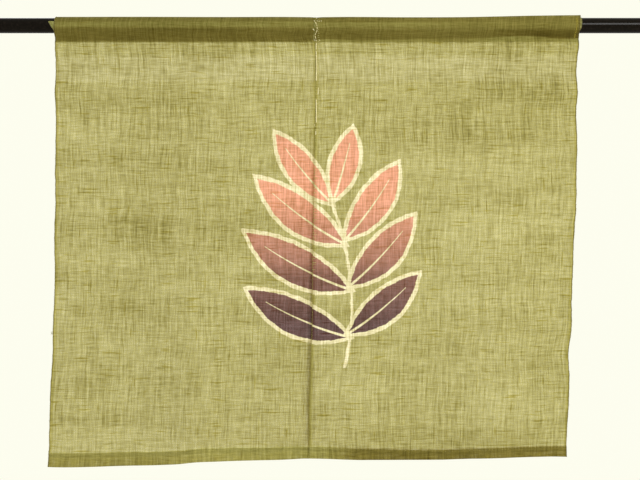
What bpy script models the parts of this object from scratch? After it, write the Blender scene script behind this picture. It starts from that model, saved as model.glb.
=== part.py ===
"""A split noren curtain hanging on a plain round rod.

Two loom widths of open hand-woven cloth hang side by side. The top of each is turned to the back
over the rod and sewn down as a pocket, and the foot is turned up at the back as a hem. The side
edges are the selvedges of the weaving, so they wander a little. Lower down the right panel comes
forward and laps over the edge of the left one.

Metres, +Z up. The front of the curtain faces -Y, and the origin is on the rod's axis, above the
line where the two panels meet.
"""

import math
from typing import NamedTuple

import bmesh
import bpy
import numpy as np

# Rod
ROD_DIAMETER = 0.025
ROD_LENGTH = 1.200
ROD_CHAMFER = 0.0010
ROD_SIDES = 32

# Cloth
CLOTH_THICKNESS = 0.0010
LAYER_GAP = 0.00035  # air between two layers of one panel
ROD_CLEARANCE = 0.0005  # between the rod and the inside of the pocket
SEAM_GAP = 0.0003  # between the butted edges of the two panels
COLUMNS = 28

# Rod pocket
POCKET_CREASE = math.radians(65)  # how far from the top the pressed crease swells the pocket
ARC_STEPS = 16
FLARE_HEIGHT = 0.0068  # where the back of the pocket pokes out furthest, above the rod's axis
FLARE_ABOVE = 0.0047  # and how far above and below that it fades out
FLARE_BELOW = 0.0185

# Hanging
PANEL_DROP = 0.7412  # from the rod's axis to the longest point of the foot
PARTING_WIDTH = 0.075  # how far from the meeting line the panels swing apart
PARTING_FORWARD = 0.6  # share of the parting taken by the right panel, which comes forward
FLUTE_GROWTH = 1.4
HEM_TURNS = 3

# Shading
SMOOTH_BELOW = math.radians(40)


class Edge(NamedTuple):
    """How far the two outer selvedges stand from the origin, at a depth below the rod's axis."""

    depth: float
    left: float
    right: float


class Meeting(NamedTuple):
    """The meeting line of the panels: its place, how far they lap, and how far they part."""

    depth: float
    x: float
    lap: float
    parting: float


class Sewing(NamedTuple):
    """The pocket along the rod.

    depth is the depth of its seam below the rod's axis, tail the height over which the turned
    allowance lies flat on the panel, and rise how far the pressed top stands up off the rod.
    """

    x: float
    depth: float
    tail: float
    rise: float


class Foot(NamedTuple):
    """The foot along the width: its depth below the rod's axis, and the height of its hem."""

    x: float
    depth: float
    hem: float


class Flute(NamedTuple):
    """A soft fold that deepens towards the foot: its place, half width and forward reach."""

    x: float
    width: float
    forward: float


EDGES = (
    Edge(-0.015, 0.4342, 0.4436),
    Edge(0.028, 0.4376, 0.4428),
    Edge(0.059, 0.4364, 0.4394),
    Edge(0.085, 0.4364, 0.4384),
    Edge(0.113, 0.4380, 0.4406),
    Edge(0.140, 0.4362, 0.4382),
    Edge(0.193, 0.4363, 0.4400),
    Edge(0.247, 0.4370, 0.4388),
    Edge(0.301, 0.4365, 0.4384),
    Edge(0.354, 0.4382, 0.4350),
    Edge(0.408, 0.4373, 0.4334),
    Edge(0.462, 0.4382, 0.4315),
    Edge(0.516, 0.4404, 0.4306),
    Edge(0.546, 0.4400, 0.4264),
    Edge(0.596, 0.4432, 0.4276),
    Edge(0.650, 0.4450, 0.4261),
    Edge(0.704, 0.4460, 0.4235),
    Edge(0.742, 0.4479, 0.4252),
)

MEETINGS = (
    Meeting(-0.015, 0.0000, 0.0000, 0.0000),
    Meeting(0.120, 0.0000, 0.0000, 0.0000),
    Meeting(0.180, -0.0003, 0.0000, 0.0020),
    Meeting(0.230, -0.0006, 0.0000, 0.0036),
    Meeting(0.300, -0.0013, 0.0030, 0.0052),
    Meeting(0.400, -0.0040, 0.0060, 0.0068),
    Meeting(0.500, -0.0058, 0.0080, 0.0080),
    Meeting(0.590, -0.0085, 0.0080, 0.0080),
    Meeting(0.680, -0.0091, 0.0035, 0.0070),
    Meeting(0.742, -0.0092, -0.0010, 0.0060),
)

LEFT_SEWING = (
    Sewing(-0.445, 0.0282, 0.0035, 0.0007),
    Sewing(-0.300, 0.0282, 0.0040, 0.0009),
    Sewing(-0.150, 0.0284, 0.0035, 0.0005),
    Sewing(-0.030, 0.0282, 0.0035, 0.0005),
    Sewing(0.000, 0.0280, 0.0035, 0.0000),
)

RIGHT_SEWING = (
    Sewing(0.000, 0.0280, 0.0035, 0.0000),
    Sewing(0.040, 0.0284, 0.0045, 0.0006),
    Sewing(0.165, 0.0282, 0.0045, 0.0000),
    Sewing(0.250, 0.0280, 0.0050, 0.0004),
    Sewing(0.311, 0.0278, 0.0062, 0.0017),
    Sewing(0.358, 0.0276, 0.0076, 0.0028),
    Sewing(0.400, 0.0278, 0.0072, 0.0034),
    Sewing(0.446, 0.0280, 0.0052, 0.0038),
)

LEFT_FEET = (
    Foot(-0.450, 0.7404, 0.0218),
    Foot(-0.341, 0.7412, 0.0210),
    Foot(-0.280, 0.7408, 0.0205),
    Foot(-0.220, 0.7363, 0.0202),
    Foot(-0.195, 0.7326, 0.0202),
    Foot(-0.150, 0.7328, 0.0202),
    Foot(-0.060, 0.7314, 0.0190),
    Foot(-0.010, 0.7287, 0.0180),
)

RIGHT_FEET = (
    Foot(-0.010, 0.7268, 0.0188),
    Foot(0.040, 0.7276, 0.0175),
    Foot(0.080, 0.7284, 0.0170),
    Foot(0.143, 0.7308, 0.0160),
    Foot(0.203, 0.7315, 0.0160),
    Foot(0.284, 0.7273, 0.0165),
    Foot(0.344, 0.7252, 0.0170),
    Foot(0.430, 0.7266, 0.0175),
)

FLUTES = (
    Flute(-0.420, 0.050, 0.006),
    Flute(-0.305, 0.045, -0.005),
    Flute(-0.205, 0.034, 0.009),
    Flute(-0.100, 0.050, -0.005),
    Flute(0.068, 0.038, 0.007),
    Flute(0.180, 0.055, -0.006),
    Flute(0.305, 0.046, 0.006),
    Flute(0.410, 0.040, -0.007),
)


class Panel(NamedTuple):
    """One loom width of the curtain."""

    name: str
    side: int  # -1 for the panel on the left, 1 for the one on the right
    sewing: tuple
    feet: tuple
    flare: float  # how far the back of the pocket pokes out past the outer edge


PANELS = (
    Panel("panel_left", -1, LEFT_SEWING, LEFT_FEET, 0.0115),
    Panel("panel_right", 1, RIGHT_SEWING, RIGHT_FEET, 0.0035),
)


def read(table, column, at):
    """Value of a named column of a table at a place along the table's first column."""
    places = [row[0] for row in table]
    return float(np.interp(at, places, [getattr(row, column) for row in table]))


def pocket_path(depth, tail, rise):
    """Middle of the cloth round the rod, from the sewn edge at the back over to the front.

    Each point is (y, z). The loop leaves the rod along its tangents, which meet above the
    allowance that is sewn flat on the panel.
    """
    half_gap = (CLOTH_THICKNESS + LAYER_GAP) / 2
    radius = ROD_DIAMETER / 2 + ROD_CLEARANCE + CLOTH_THICKNESS / 2
    closing = depth - tail
    leaves = math.acos(radius / closing)
    path = [(half_gap, -depth), (half_gap, -closing)]
    for step in range(ARC_STEPS + 1):
        angle = leaves + (2 * math.pi - 2 * leaves) * step / ARC_STEPS
        from_top = abs(angle - math.pi) / POCKET_CREASE
        swell = rise * math.cos(min(from_top, 1) * math.pi / 2) ** 2
        path.append(((radius + swell) * math.sin(angle), -(radius + swell) * math.cos(angle)))
    path += [(-half_gap, -closing), (-half_gap, -depth)]
    return path


def sheet_path(depth, foot):
    """Middle of the cloth below the pocket, down to the start of the turned foot."""
    y = -(CLOTH_THICKNESS + LAYER_GAP) / 2
    top, bottom = EDGES[1].depth, EDGES[-1].depth
    shares = [(row.depth - top) / (bottom - top) for row in EDGES[2:-1]]
    turn = foot + y
    return [(y, -(depth + (turn - depth) * share)) for share in shares]


def hem_path(foot, height):
    """Middle of the cloth round the turned foot and up the back of the panel."""
    turn = (CLOTH_THICKNESS + LAYER_GAP) / 2
    path = [(-turn, -(foot - height))]
    for step in range(HEM_TURNS + 1):
        angle = math.pi * step / HEM_TURNS
        path.append((-turn * math.cos(angle), -(foot - turn) - turn * math.sin(angle)))
    path.append((turn, -(foot - height)))
    return path


def flute_forward(x, depth):
    """How far the soft folds bring the cloth forward at a place."""
    share = max(0.0, depth - EDGES[2].depth) / (PANEL_DROP - EDGES[2].depth)
    waves = sum(row.forward * math.exp(-(((x - row.x) / row.width) ** 2)) for row in FLUTES)
    return waves * share**FLUTE_GROWTH


def parting_forward(panel, x, depth):
    """How far a panel swings forward of the common plane near the meeting line."""
    away = min(abs(x - read(MEETINGS, "x", depth)) / PARTING_WIDTH, 1.0)
    share = PARTING_FORWARD if panel.side > 0 else PARTING_FORWARD - 1
    return share * read(MEETINGS, "parting", depth) * math.cos(away * math.pi / 2) ** 2


def outer_edge(panel, depth):
    """Where the outer selvedge of a panel runs at a depth."""
    return panel.side * read(EDGES, "left" if panel.side < 0 else "right", depth)


def inner_edge(panel, depth):
    """Where the selvedge of a panel at the meeting line runs at a depth."""
    lap = read(MEETINGS, "lap", depth) if panel.side < 0 else 0.0
    return read(MEETINGS, "x", depth) + panel.side * SEAM_GAP / 2 + lap


def pocket_flare(panel, y, z):
    """How far the outer edge stands out at the back of the pocket."""
    reach = FLARE_ABOVE if z > FLARE_HEIGHT else FLARE_BELOW
    away = min(abs(z - FLARE_HEIGHT) / reach, 1.0)
    return panel.side * panel.flare * (1 - away) if y > ROD_DIAMETER / 4 else 0.0


def whole_path(panel, x):
    """Middle of the cloth at one place along the rod, from the pocket's sewn edge to the hem's."""
    sewn, tail, rise = (read(panel.sewing, column, x) for column in ("depth", "tail", "rise"))
    foot, hem = read(panel.feet, "depth", x), read(panel.feet, "hem", x)
    return pocket_path(sewn, tail, rise) + sheet_path(sewn, foot - hem) + hem_path(foot, hem)


def place(panel, column, row):
    """World place of one point of a panel.

    column runs from 0 at the outer edge to 1 at the meeting line, and row counts along the path.
    """
    y, z = whole_path(panel, outer_edge(panel, 0.0) * (1 - column))[row]
    outer, inner = outer_edge(panel, -z) + pocket_flare(panel, y, z), inner_edge(panel, -z)
    x = outer + (inner - outer) * column
    return x, y - flute_forward(x, -z) - parting_forward(panel, x, -z), z


def finish(name, colour, roughness):
    """Plain material of one colour."""
    material = bpy.data.materials.new(name)
    material.use_nodes = True
    shader = material.node_tree.nodes["Principled BSDF"]
    shader.inputs["Base Color"].default_value = (*colour, 1.0)
    shader.inputs["Roughness"].default_value = roughness
    shader.inputs["Metallic"].default_value = 0.0
    return material


def add_object(name, bm, material):
    """Turns a bmesh into a named object with a material."""
    mesh = bpy.data.meshes.new(name)
    bm.to_mesh(mesh)
    bm.free()
    mesh.materials.append(material)
    mesh.shade_smooth()
    mesh.set_sharp_from_angle(angle=SMOOTH_BELOW)
    node = bpy.data.objects.new(name, mesh)
    bpy.context.scene.collection.objects.link(node)
    return node


def make_panel(panel, material):
    """One panel: a flat cut of cloth, bent point by point to the way it hangs."""
    rows = len(whole_path(panel, 0.0)) - 1
    bm = bmesh.new()
    bmesh.ops.create_grid(bm, x_segments=COLUMNS, y_segments=rows, size=0.5)
    for vertex in bm.verts:
        across, along = vertex.co.x + 0.5, vertex.co.y + 0.5
        column = 1 - across if panel.side > 0 else across
        vertex.co = place(panel, column, round(along * rows))
    node = add_object(panel.name, bm, material)
    cloth = node.modifiers.new("cloth thickness", "SOLIDIFY")
    cloth.thickness = CLOTH_THICKNESS
    cloth.offset = 0.0
    cloth.use_even_offset = True
    cloth.use_quality_normals = True
    return node


def make_rod(material):
    """The round rod, lying along X with its axis through the origin."""
    bm = bmesh.new()
    bmesh.ops.create_cone(
        bm,
        cap_ends=True,
        segments=ROD_SIDES,
        radius1=ROD_DIAMETER / 2,
        radius2=ROD_DIAMETER / 2,
        depth=ROD_LENGTH,
    )
    rims = [edge for edge in bm.edges if len({len(face.verts) for face in edge.link_faces}) == 2]
    bmesh.ops.bevel(
        bm,
        geom=rims,
        offset=ROD_CHAMFER,
        segments=1,
        profile=0.5,
        affect="EDGES",
        material=-1,
    )
    node = add_object("rod", bm, material)
    node.rotation_euler = (0, math.pi / 2, 0)
    return node


def main():
    """Builds the curtain and its rod."""
    for old in list(bpy.data.objects):
        bpy.data.objects.remove(old)
    moss_cloth = finish("moss cloth", (0.33, 0.30, 0.10), 0.9)
    black_lacquer = finish("black lacquer", (0.010, 0.010, 0.011), 0.25)
    for panel in PANELS:
        make_panel(panel, moss_cloth)
    make_rod(black_lacquer)


main()
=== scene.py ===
"""The looks of a split noren curtain on a plain round rod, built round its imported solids.

Two loom widths of open, slubby hand-woven cloth hang side by side. Each is one thin sheet: its
raw edge is turned in and sewn to the back of the panel, the cloth runs up and over the rod, down
the front, and is turned up twice at the foot. A sprig of plain leaves is dyed across both.

Metres, +Z up. The front faces -Y, and the origin is on the rod's axis, above the line where the
two panels meet.
"""

import logging
import math
import random
from dataclasses import dataclass
from enum import Enum
from typing import NamedTuple, Sequence

import bmesh
import bpy
import numpy as np
from mathutils import Matrix, Vector, noise


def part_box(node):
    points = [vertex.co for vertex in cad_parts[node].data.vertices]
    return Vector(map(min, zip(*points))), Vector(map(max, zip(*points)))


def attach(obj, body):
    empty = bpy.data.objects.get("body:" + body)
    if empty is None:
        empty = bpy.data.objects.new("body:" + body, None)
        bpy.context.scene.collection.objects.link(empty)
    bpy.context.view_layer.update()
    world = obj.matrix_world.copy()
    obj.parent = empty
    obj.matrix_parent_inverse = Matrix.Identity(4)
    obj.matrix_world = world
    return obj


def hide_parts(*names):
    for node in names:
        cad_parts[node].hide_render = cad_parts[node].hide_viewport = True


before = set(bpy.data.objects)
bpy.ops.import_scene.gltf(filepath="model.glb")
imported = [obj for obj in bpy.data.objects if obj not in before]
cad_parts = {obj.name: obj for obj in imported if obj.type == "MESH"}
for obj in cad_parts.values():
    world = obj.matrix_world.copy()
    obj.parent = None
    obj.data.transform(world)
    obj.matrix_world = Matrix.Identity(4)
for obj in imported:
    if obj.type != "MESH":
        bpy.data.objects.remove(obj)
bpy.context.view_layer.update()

LOG = logging.getLogger("noren")
MM = 0.001

# Sizes shared with the solids
ROD_LOW, ROD_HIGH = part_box("rod")
ROD_RADIUS = (ROD_HIGH.z - ROD_LOW.z) / 2
HALF_GAP = 0.675 * MM  # from the middle of a double layer to the middle of either cloth
ROD_TO_CLOTH = 1.0 * MM  # from the rod to the middle of the cloth round it
POCKET_CREASE = math.radians(65)  # how far from the top the pressed crease swells the pocket
LOOM_WIDTH = 0.440
PANEL_DROP = 0.7412
PARTING_WIDTH = 0.075
PARTING_FORWARD = 0.6
FLUTE_GROWTH = 1.4
FLUTES_FROM = 0.059
FLARE_HEIGHT = 0.0068  # where the back of the pocket pokes out furthest past the front
FLARE_ABOVE = 0.0047
FLARE_BELOW = 0.0185

# The hand sewing that joins the panels
PINCH = 0.0006  # how far its first stitch pulls the pocket down onto the rod
PINCH_PLACE = 0.0015
PINCH_WIDTH = 0.0050
JOINED_DOWN_TO = 0.413


class Side(Enum):
    """Which of the two loom widths a panel is."""

    LEFT = -1
    RIGHT = 1


class Edge(NamedTuple):
    """How far the two outer selvedges stand from the origin, at a depth below the rod's axis."""

    depth: float
    left: float
    right: float


class Meeting(NamedTuple):
    """The meeting line of the panels: its place, how far they lap, and how far they part."""

    depth: float
    x: float
    lap: float
    parting: float


class Sewing(NamedTuple):
    """The pocket along the rod: the depth of its seam, the flat above it, and its pressed top."""

    x: float
    depth: float
    tail: float
    rise: float


class Foot(NamedTuple):
    """The foot along the width: its depth below the rod's axis, and the height of its hem."""

    x: float
    depth: float
    hem: float


class Flute(NamedTuple):
    """A soft fold that deepens towards the foot: its place, half width and forward reach."""

    x: float
    width: float
    forward: float


class Crease(NamedTuple):
    """A pressed line left by folding the cloth away: its two ends, half width and height."""

    x: float
    z: float
    end_x: float
    end_z: float
    width: float
    height: float


class Gap(NamedTuple):
    """Where the slit between the panels runs at a depth, past the meeting line, and its width."""

    depth: float
    x: float
    width: float


class Shadow(NamedTuple):
    """The painted shade of the pocket's front along the rod: 0 in full light, and over 1 where it is
    deepest.
    """

    x: float
    crown: float  # more shade over the top of the rod
    above: float  # shade down to where the bulge turns under
    top: float  # height at which it starts to turn under
    softness: float
    below: float  # shade under the bulge
    foot: float  # height of the crease that ends it
    under: float  # shade below that crease, less than 0 where the cloth is paler


class Turning(NamedTuple):
    """The turned-in end of the cloth inside the pocket, in front of the rod."""

    top: float  # how far it reaches up
    reach: float  # how far its corner pokes out past the outer edge
    slant: float  # the height over which it comes out


class Float(NamedTuple):
    """One stretch of the joining thread that lies on the front, from its first end to its last."""

    x: float
    z: float
    end_x: float
    end_z: float
    width: float


class Patch(NamedTuple):
    """A cloud of painted light where its strength is above 0 and of painted shade below 0, partly also
    uneven weave: its place, half sizes and strength.
    """

    x: float
    z: float
    width: float
    height: float
    tone: float


class Swells(NamedTuple):
    """Smooth unevenness: its height, the length of one swell, and the number of its pattern."""

    height: float
    length: float
    seed: float


class Spread(NamedTuple):
    """The least and the greatest size, in millimetres, between which one is drawn."""

    low: float
    high: float

    def draw(self, source: random.Random) -> float:
        """Draws one size, in metres."""
        return source.uniform(self.low, self.high) * MM


class SmallStitch(NamedTuple):
    """A kind of small stitch: where it starts and ends past a line, how far it falls, its lift."""

    start: Spread
    end: Spread
    fall: Spread
    lift: Spread


EDGES = (
    Edge(-0.015, 0.4342, 0.4436),
    Edge(-0.009, 0.4347, 0.4420),
    Edge(0.000, 0.4354, 0.4408),
    Edge(0.010, 0.4362, 0.4406),
    Edge(0.020, 0.4370, 0.4418),
    Edge(0.028, 0.4376, 0.4428),
    Edge(0.059, 0.4364, 0.4394),
    Edge(0.085, 0.4364, 0.4384),
    Edge(0.113, 0.4380, 0.4406),
    Edge(0.140, 0.4362, 0.4382),
    Edge(0.193, 0.4363, 0.4400),
    Edge(0.247, 0.4370, 0.4388),
    Edge(0.301, 0.4365, 0.4384),
    Edge(0.354, 0.4382, 0.4350),
    Edge(0.408, 0.4373, 0.4334),
    Edge(0.462, 0.4382, 0.4315),
    Edge(0.516, 0.4404, 0.4306),
    Edge(0.546, 0.4400, 0.4264),
    Edge(0.596, 0.4432, 0.4276),
    Edge(0.650, 0.4450, 0.4261),
    Edge(0.704, 0.4460, 0.4235),
    Edge(0.742, 0.4479, 0.4252),
)

MEETINGS = (
    Meeting(-0.015, 0.0000, 0.0000, 0.0000),
    Meeting(0.024, 0.0000, 0.0000, 0.0000),
    Meeting(0.029, 0.0000, 0.0010, 0.0008),
    Meeting(0.038, 0.0000, 0.0012, 0.0010),
    Meeting(0.120, 0.0000, 0.0012, 0.0014),
    Meeting(0.180, -0.0008, 0.0014, 0.0022),
    Meeting(0.240, -0.0024, 0.0015, 0.0038),
    Meeting(0.300, -0.0030, 0.0016, 0.0052),
    Meeting(0.400, -0.0048, 0.0018, 0.0068),
    Meeting(0.500, -0.0057, 0.0020, 0.0080),
    Meeting(0.590, -0.0086, 0.0020, 0.0080),
    Meeting(0.640, -0.0102, 0.0018, 0.0076),
    Meeting(0.700, -0.0101, 0.0014, 0.0066),
    Meeting(0.742, -0.0098, 0.0000, 0.0060),
)

LEFT_SEWING = (
    Sewing(-0.445, 0.0282, 0.0035, 0.0007),
    Sewing(-0.300, 0.0282, 0.0040, 0.0009),
    Sewing(-0.150, 0.0284, 0.0035, 0.0005),
    Sewing(-0.030, 0.0282, 0.0035, 0.0005),
    Sewing(0.000, 0.0280, 0.0035, 0.0000),
)

RIGHT_SEWING = (
    Sewing(0.000, 0.0280, 0.0035, 0.0000),
    Sewing(0.040, 0.0284, 0.0045, 0.0006),
    Sewing(0.165, 0.0282, 0.0045, 0.0000),
    Sewing(0.250, 0.0280, 0.0050, 0.0004),
    Sewing(0.311, 0.0278, 0.0062, 0.0017),
    Sewing(0.358, 0.0276, 0.0076, 0.0028),
    Sewing(0.400, 0.0278, 0.0072, 0.0034),
    Sewing(0.446, 0.0280, 0.0052, 0.0038),
)

LEFT_FEET = (
    Foot(-0.450, 0.7404, 0.0238),
    Foot(-0.341, 0.7412, 0.0234),
    Foot(-0.280, 0.7408, 0.0228),
    Foot(-0.220, 0.7363, 0.0225),
    Foot(-0.195, 0.7326, 0.0224),
    Foot(-0.150, 0.7328, 0.0224),
    Foot(-0.060, 0.7314, 0.0212),
    Foot(-0.010, 0.7287, 0.0200),
)

RIGHT_FEET = (
    Foot(-0.010, 0.7268, 0.0206),
    Foot(0.040, 0.7276, 0.0196),
    Foot(0.080, 0.7284, 0.0190),
    Foot(0.143, 0.7308, 0.0176),
    Foot(0.203, 0.7315, 0.0164),
    Foot(0.284, 0.7273, 0.0165),
    Foot(0.344, 0.7252, 0.0170),
    Foot(0.430, 0.7266, 0.0175),
)

FLUTES = (
    Flute(-0.420, 0.050, 0.006),
    Flute(-0.305, 0.045, -0.005),
    Flute(-0.205, 0.034, 0.009),
    Flute(-0.100, 0.050, -0.005),
    Flute(0.068, 0.038, 0.007),
    Flute(0.180, 0.055, -0.006),
    Flute(0.305, 0.046, 0.006),
    Flute(0.410, 0.040, -0.007),
)

CREASES = (
    Crease(0.020, -0.058, 0.370, -0.068, 0.006, 0.0008),
    Crease(-0.440, -0.098, 0.000, -0.106, 0.007, -0.0007),
    Crease(-0.330, -0.300, -0.010, -0.310, 0.010, 0.0006),
    Crease(0.010, -0.470, 0.430, -0.462, 0.010, -0.0006),
)

# Clouds of painted light and painted shade across the cloth, partly also uneven weave
PATCHES = (
    Patch(-0.400, -0.180, 0.060, 0.060, 0.05),
    Patch(-0.240, -0.170, 0.150, 0.120, -0.13),
    Patch(-0.290, -0.340, 0.080, 0.110, -0.12),
    Patch(-0.400, -0.480, 0.070, 0.130, 0.09),
    Patch(-0.180, -0.450, 0.110, 0.070, 0.04),
    Patch(-0.270, -0.610, 0.080, 0.050, -0.09),
    Patch(-0.250, -0.705, 0.230, 0.040, 0.13),
    Patch(-0.415, -0.690, 0.050, 0.060, 0.06),
    Patch(0.330, -0.100, 0.200, 0.150, -0.13),
    Patch(0.370, -0.340, 0.080, 0.100, 0.09),
    Patch(0.240, -0.400, 0.150, 0.200, 0.07),
    Patch(0.090, -0.610, 0.090, 0.060, 0.10),
    Patch(0.330, -0.640, 0.100, 0.070, 0.06),
    Patch(0.220, -0.705, 0.280, 0.040, -0.14),
    Patch(0.080, -0.712, 0.100, 0.022, -0.12),
)

GAPS = (
    Gap(-0.0150, 0.0000, 0.0004),
    Gap(-0.0060, -0.0006, 0.0006),
    Gap(0.0015, -0.0016, 0.0011),
    Gap(0.0090, 0.0006, 0.0012),
    Gap(0.0138, -0.0012, 0.0011),
    Gap(0.0187, -0.0026, 0.0013),
    Gap(0.0240, -0.0021, 0.0009),
    Gap(0.0290, -0.0017, 0.0001),
    Gap(0.0380, -0.0010, 0.0000),
    Gap(0.1200, 0.0000, 0.0000),
)

SHADOWS = (
    Shadow(-0.445, 0.38, -0.04, -0.0030, 0.0075, 0.86, -0.0262, 0.30),
    Shadow(-0.080, 0.38, -0.06, -0.0030, 0.0075, 0.86, -0.0262, 0.30),
    Shadow(-0.004, 0.44, 0.00, -0.0030, 0.0085, 0.84, -0.0252, 0.25),
    Shadow(0.012, 0.48, 0.03, -0.0030, 0.0100, 0.76, -0.0236, 0.02),
    Shadow(0.045, 0.47, 0.04, -0.0033, 0.0098, 0.74, -0.0240, 0.02),
    Shadow(0.090, 0.47, 0.04, -0.0035, 0.0096, 0.73, -0.0250, 0.02),
    Shadow(0.150, 0.46, 0.05, -0.0036, 0.0095, 0.72, -0.0236, 0.10),
    Shadow(0.240, 0.30, 0.26, -0.0060, 0.0070, 0.66, -0.0222, 0.28),
    Shadow(0.290, 0.20, 0.28, -0.0064, 0.0064, 0.72, -0.0206, -0.15),
    Shadow(0.320, 0.12, 0.30, -0.0066, 0.0060, 0.92, -0.0188, -0.35),
    Shadow(0.358, 0.18, 0.28, -0.0055, 0.0075, 1.12, -0.0182, -0.20),
    Shadow(0.380, 0.20, 0.25, -0.0052, 0.0085, 1.32, -0.0190, 0.05),
    Shadow(0.400, 0.22, 0.22, -0.0050, 0.0095, 1.30, -0.0214, 0.10),
    Shadow(0.446, 0.14, 0.38, -0.0040, 0.0110, 1.24, -0.0220, -0.50),
)
CROWN_FOOT = 0.0012  # height above which the crown's shade sets in
CROWN_TOP = 0.0034
CREASE_SOFTNESS = 0.0007

LEFT_TURNING = Turning(0.0041, 0.0104, 0.0161)
RIGHT_TURNING = Turning(0.0125, 0.0030, 0.0050)
TURNING_FOOT = -0.0120  # where the turned-in end starts to come out
TURNING_PAST = 0.0016  # how far left of the slit the turned-in ends meet, so that cloth backs it

# Small unevenness of the cloth
SCALLOPS = (Swells(0.0007, 0.017, 0.0), Swells(0.0004, 0.006, 9.0))  # of the outer selvedges
WANDER = (Swells(0.00035, 0.014, 21.0),)  # of the selvedges at the meeting
SLACK = (Swells(0.0011, 0.060, 5.0), Swells(0.00045, 0.022, 7.0))
SLACK_DOWN = 0.35  # its swells are longer down the cloth than across it, by one over this
SLACK_DEPTHS = (0.026, 0.050)  # where it sets in below the pocket
PUCKERS = (Swells(0.001, 0.011, 11.0),)
PUCKERS_DOWN = 0.2
SEAM_PUCKERS = 0.35  # their share by the pocket's seam, and how they fade away from it
SEAM_PUCKERS_BELOW = 0.004
SEAM_PUCKERS_FADE = 0.010
SEAM_PUCKERS_FROM = 0.020
HEM_PUCKERS = 0.5
HEM_PUCKERS_FADE = 0.012
CREASE_BEFORE = 0.02  # a crease fades in from this far before its end to this far past it
CREASE_PAST = 0.05

FLOATS = (
    Float(0.0020, 0.0098, 0.0021, 0.0084, 0.0007),
    Float(-0.0024, 0.0048, -0.0014, 0.0034, 0.0008),
    Float(0.0026, 0.0050, 0.0030, 0.0036, 0.0007),
    Float(0.0058, 0.0046, 0.0066, 0.0032, 0.0006),
    Float(0.0092, 0.0046, 0.0100, 0.0036, 0.0005),
    Float(0.0002, 0.0022, 0.0012, -0.0010, 0.0013),
    Float(0.0018, -0.0020, 0.0026, -0.0042, 0.0007),
    Float(0.0028, -0.0052, 0.0029, -0.0090, 0.0006),
    Float(-0.0046, -0.0082, -0.0020, -0.0106, 0.0008),
    Float(0.0028, -0.0100, 0.0016, -0.0136, 0.0006),
    Float(0.0010, -0.0144, -0.0010, -0.0172, 0.0007),
    Float(-0.0012, -0.0180, 0.0008, -0.0226, 0.0010),
    Float(0.0008, -0.0236, 0.0012, -0.0272, 0.0008),
    Float(0.0057, -0.0238, 0.0076, -0.0262, 0.0007),
    Float(0.0012, -0.0290, 0.0010, -0.0410, 0.0008),
    Float(0.0010, -0.0425, 0.0014, -0.0490, 0.0012),
    Float(0.0015, -0.0495, 0.0012, -0.0925, 0.0022),
    Float(0.0048, -0.1040, 0.0043, -0.1160, 0.0006),
    Float(0.0012, -0.1250, 0.0013, -0.1630, 0.0020),
    Float(-0.0014, -0.1650, -0.0012, -0.1700, 0.0006),
    Float(0.0006, -0.1770, 0.0004, -0.1840, 0.0010),
)


def along(table: Sequence[NamedTuple], column: str, at: np.ndarray) -> np.ndarray:
    """Reads one column of a table as a smooth curve.

    Args:
        table: Rows in order of their first column.
        column: Name of the column to read.
        at: Places along the first column.

    Returns:
        The column's value at each place, held level past both ends.
    """
    places = np.array([row[0] for row in table])
    values = np.array([getattr(row, column) for row in table])
    slopes = np.gradient(values, places)
    at = np.clip(at, places[0], places[-1])
    before = np.clip(np.searchsorted(places, at) - 1, 0, len(places) - 2)
    after = before + 1
    step = places[after] - places[before]
    t = (at - places[before]) / step
    return (
        (2 * t**3 - 3 * t**2 + 1) * values[before]
        + (t**3 - 2 * t**2 + t) * step * slopes[before]
        + (3 * t**2 - 2 * t**3) * values[after]
        + (t**3 - t**2) * step * slopes[after]
    )


def read(table: Sequence[NamedTuple], column: str, at: float) -> float:
    """One column of a table at a single place."""
    return float(along(table, column, np.array([at]))[0])


def uneven(rows: Sequence[Swells], a: np.ndarray, b: np.ndarray | float, seed: float = 0.0) -> np.ndarray:
    """Adds up smooth unevenness of several sizes.

    Args:
        rows: The sizes.
        a: First coordinate of each place, in metres.
        b: Second coordinate.
        seed: Any number; another one gives another pattern.

    Returns:
        The height at each place.
    """
    places = np.stack([a, np.broadcast_to(b, a.shape)], axis=-1).reshape(-1, 2)
    height = np.zeros(a.shape)
    for row in rows:
        values = [noise.noise(Vector((*place, row.seed + seed))) for place in places / row.length]
        height += row.height * np.array(values).reshape(a.shape)
    return height


def swell(value: np.ndarray, start: float, end: float) -> np.ndarray:
    """Rises smoothly from 0 at start to 1 at end."""
    share = np.clip((value - start) / (end - start), 0.0, 1.0)
    return share * share * (3 - 2 * share)


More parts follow.
